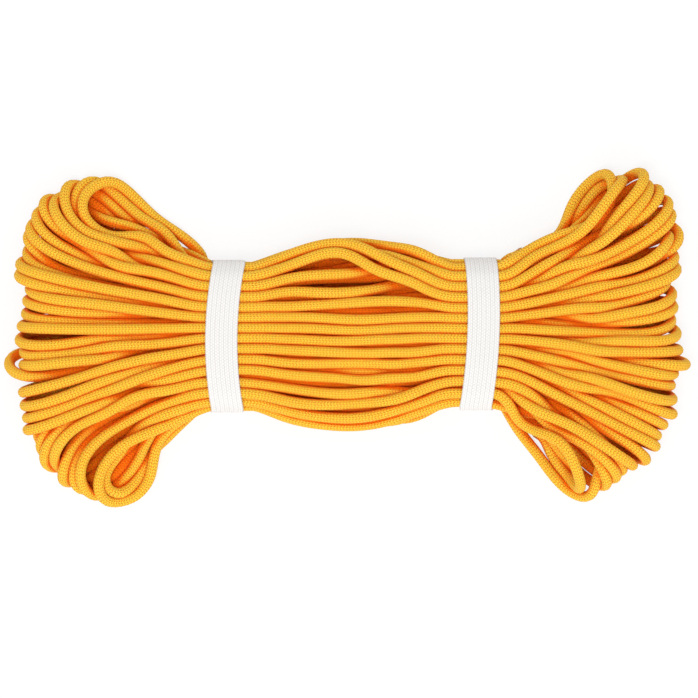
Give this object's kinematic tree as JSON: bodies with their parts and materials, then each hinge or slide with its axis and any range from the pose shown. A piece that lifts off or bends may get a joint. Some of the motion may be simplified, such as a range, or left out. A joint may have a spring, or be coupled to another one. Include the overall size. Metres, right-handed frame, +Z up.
{
  "type": "hank of accessory cord",
  "caption": "Hank of limp braided orange cord, wound in upright loops that open into a fan at each end, held at the waist by white elastic bands.",
  "frame": {"origin": "middle of the surface that the hank lies on, under the centre of its box", "axes": "+X along the hank, from the left fan to the right fan; +Y across it; +Z up from the surface"},
  "size_m": [0.3222, 0.1564, 0.0288],
  "materials": {
    "cord_sheath": "matte",
    "melted_cord": "satin",
    "woven_elastic": "matte"
  },
  "bodies": {
    "hank": {"rope": "cord_sheath", "sealed_end_first": "melted_cord", "sealed_end_last": "melted_cord"},
    "band_left": {"elastic_band_left": "woven_elastic"},
    "band_right": {"elastic_band_right": "woven_elastic"}
  },
  "joints": [
    {"name": "left_band_slide", "type": "slide", "parent": "hank", "child": "band_left", "axis": [1, 0, 0], "range_m": [0, 0.006]},
    {"name": "right_band_slide", "type": "slide", "parent": "hank", "child": "band_right", "axis": [-1, 0, 0], "range_m": [0, 0.006]}
  ]
}
